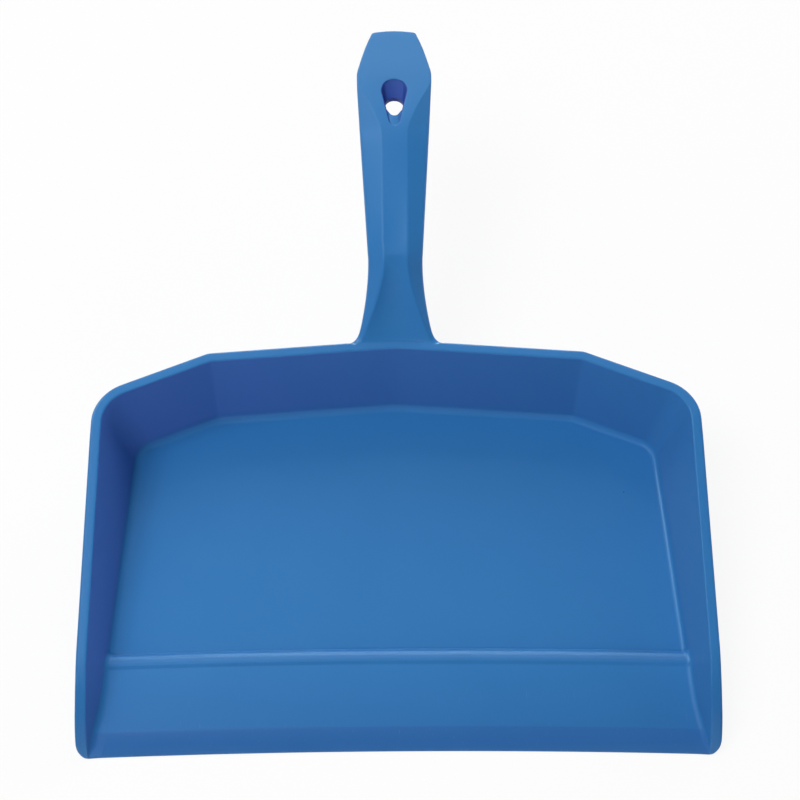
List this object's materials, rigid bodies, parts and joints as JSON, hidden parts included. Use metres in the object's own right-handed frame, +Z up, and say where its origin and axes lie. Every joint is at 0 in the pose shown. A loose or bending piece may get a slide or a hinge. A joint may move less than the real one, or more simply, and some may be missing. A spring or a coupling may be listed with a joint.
{
  "type": "dustpan",
  "caption": "Hand dustpan with leaning walls, a faceted rear wall, a raised stop ridge behind a ramped sweeping edge, and a faceted handle with a hang hole.",
  "frame": {"origin": "middle of the footprint, on the floor the pan rests on", "axes": "+Z up, +Y from the sweeping edge to the handle tip, +X to the right seen from the front"},
  "size_m": [0.2936, 0.3328, 0.1071],
  "materials": {
    "polypropylene": "satin, fine moulding texture"
  },
  "bodies": {
    "root": {"floor_panel": "polypropylene", "stop_ridge": "polypropylene", "entry_ramp": "polypropylene", "sweeping_edge": "polypropylene", "left_side_wall": "polypropylene", "right_side_wall": "polypropylene", "left_rear_corner": "polypropylene", "right_rear_corner": "polypropylene", "left_rear_panel": "polypropylene", "right_rear_panel": "polypropylene", "rear_centre_panel": "polypropylene", "handle_neck": "polypropylene", "handle_grip": "polypropylene", "handle_head": "polypropylene"}
  },
  "joints": []
}
